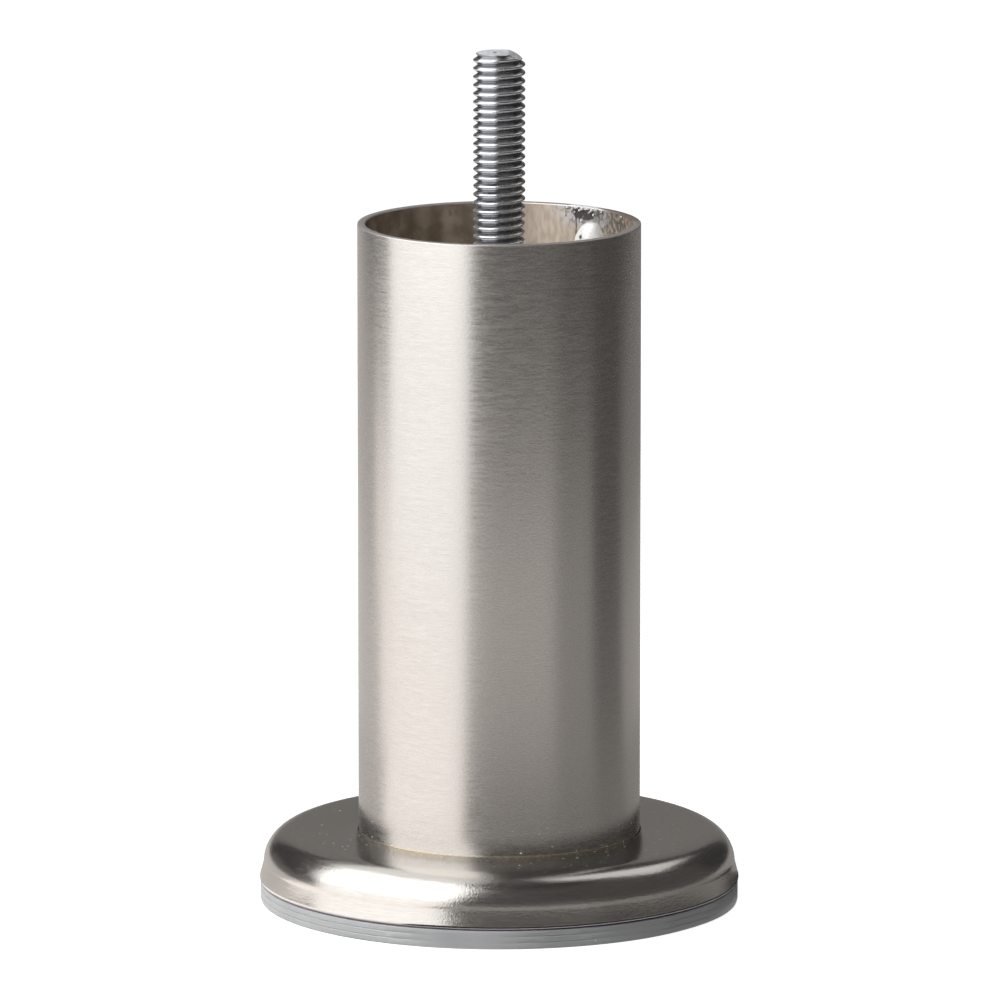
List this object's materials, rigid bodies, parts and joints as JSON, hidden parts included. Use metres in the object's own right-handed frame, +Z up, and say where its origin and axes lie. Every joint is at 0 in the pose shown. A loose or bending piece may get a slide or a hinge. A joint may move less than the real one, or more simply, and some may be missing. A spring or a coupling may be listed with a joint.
{
  "type": "furniture leg",
  "caption": "Short round furniture leg: brushed steel tube on a pressed round foot with a plastic glide, and a threaded stud standing out of the open top.",
  "frame": {"origin": "centre of the glide's underside, on the floor", "axes": "+Z up the leg's axis towards the stud, -Y towards the pictured front, +X to the right"},
  "size_m": [0.0716, 0.0716, 0.1274],
  "materials": {
    "brushed_nickel": "satin, brushed round the axis",
    "zinc_plate": "bright zinc plating",
    "bare_steel": "bare, heat tinted",
    "weld_metal": "as welded",
    "grey_plastic": "moulded, satin"
  },
  "bodies": {
    "root": {"tube": "brushed_nickel", "base_flange": "brushed_nickel", "base_weld": "weld_metal", "glide": "grey_plastic", "stud": "zinc_plate", "mounting_disc": "bare_steel", "stud_nut": "zinc_plate", "tack_welds": "weld_metal"}
  },
  "joints": []
}
